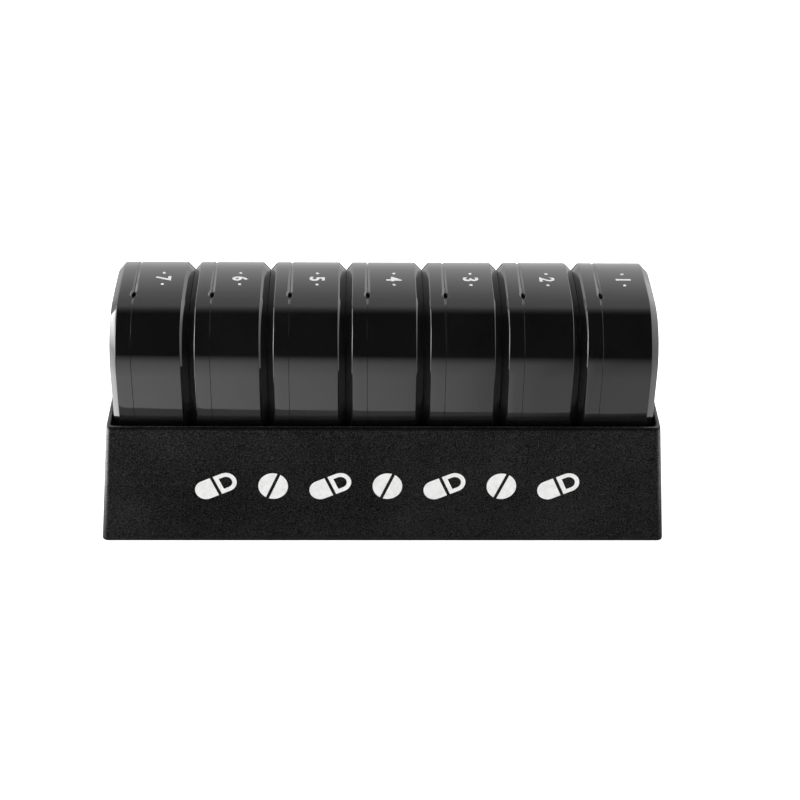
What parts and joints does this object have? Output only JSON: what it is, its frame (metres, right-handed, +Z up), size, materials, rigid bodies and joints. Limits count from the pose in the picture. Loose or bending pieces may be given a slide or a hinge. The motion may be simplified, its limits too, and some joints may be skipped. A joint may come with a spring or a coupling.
{
  "type": "travel pill organizer",
  "caption": "Weekly travel pill organizer: glossy black daily pods with lift-off lids standing in a row in a matt black tray that leans in to its rim.",
  "frame": {"origin": "middle of the tray's underside, where the part rests", "axes": "+X along the row of pods, left to right seen from the front; +Y to the back; +Z up"},
  "size_m": [0.1928, 0.068, 0.0824],
  "materials": {
    "tray_matte_black": "fine matt texture",
    "pod_gloss_black": "polished",
    "hinge_steel": "drawn wire"
  },
  "bodies": {
    "tray": {"tray": "tray_matte_black"},
    "pod_sat": {"pod_body_sat": "pod_gloss_black", "hinge_pin_sat": "hinge_steel"},
    "lid_sat": {"pod_lid_sat": "pod_gloss_black"},
    "pod_fri": {"pod_body_fri": "pod_gloss_black", "hinge_pin_fri": "hinge_steel"},
    "lid_fri": {"pod_lid_fri": "pod_gloss_black"},
    "pod_thu": {"pod_body_thu": "pod_gloss_black", "hinge_pin_thu": "hinge_steel"},
    "lid_thu": {"pod_lid_thu": "pod_gloss_black"},
    "pod_wed": {"pod_body_wed": "pod_gloss_black", "hinge_pin_wed": "hinge_steel"},
    "lid_wed": {"pod_lid_wed": "pod_gloss_black"},
    "pod_tue": {"pod_body_tue": "pod_gloss_black", "hinge_pin_tue": "hinge_steel"},
    "lid_tue": {"pod_lid_tue": "pod_gloss_black"},
    "pod_mon": {"pod_body_mon": "pod_gloss_black", "hinge_pin_mon": "hinge_steel"},
    "lid_mon": {"pod_lid_mon": "pod_gloss_black"},
    "pod_sun": {"pod_body_sun": "pod_gloss_black", "hinge_pin_sun": "hinge_steel"},
    "lid_sun": {"pod_lid_sun": "pod_gloss_black"}
  },
  "joints": [
    {"name": "pod_sat_lift", "type": "slide", "parent": "tray", "child": "pod_sat", "axis": [0, 0, 1], "range_m": [0, 0.09]},
    {"name": "lid_sat_lift_off", "type": "slide", "parent": "pod_sat", "child": "lid_sat", "axis": [0, 0, 1], "range_m": [0, 0.082]},
    {"name": "pod_fri_lift", "type": "slide", "parent": "tray", "child": "pod_fri", "axis": [0, 0, 1], "range_m": [0, 0.09]},
    {"name": "lid_fri_lift_off", "type": "slide", "parent": "pod_fri", "child": "lid_fri", "axis": [0, 0, 1], "range_m": [0, 0.082]},
    {"name": "pod_thu_lift", "type": "slide", "parent": "tray", "child": "pod_thu", "axis": [0, 0, 1], "range_m": [0, 0.09]},
    {"name": "lid_thu_lift_off", "type": "slide", "parent": "pod_thu", "child": "lid_thu", "axis": [0, 0, 1], "range_m": [0, 0.082]},
    {"name": "pod_wed_lift", "type": "slide", "parent": "tray", "child": "pod_wed", "axis": [0, 0, 1], "range_m": [0, 0.09]},
    {"name": "lid_wed_lift_off", "type": "slide", "parent": "pod_wed", "child": "lid_wed", "axis": [0, 0, 1], "range_m": [0, 0.082]},
    {"name": "pod_tue_lift", "type": "slide", "parent": "tray", "child": "pod_tue", "axis": [0, 0, 1], "range_m": [0, 0.09]},
    {"name": "lid_tue_lift_off", "type": "slide", "parent": "pod_tue", "child": "lid_tue", "axis": [0, 0, 1], "range_m": [0, 0.082]},
    {"name": "pod_mon_lift", "type": "slide", "parent": "tray", "child": "pod_mon", "axis": [0, 0, 1], "range_m": [0, 0.09]},
    {"name": "lid_mon_lift_off", "type": "slide", "parent": "pod_mon", "child": "lid_mon", "axis": [0, 0, 1], "range_m": [0, 0.082]},
    {"name": "pod_sun_lift", "type": "slide", "parent": "tray", "child": "pod_sun", "axis": [0, 0, 1], "range_m": [0, 0.09]},
    {"name": "lid_sun_lift_off", "type": "slide", "parent": "pod_sun", "child": "lid_sun", "axis": [0, 0, 1], "range_m": [0, 0.082]}
  ]
}
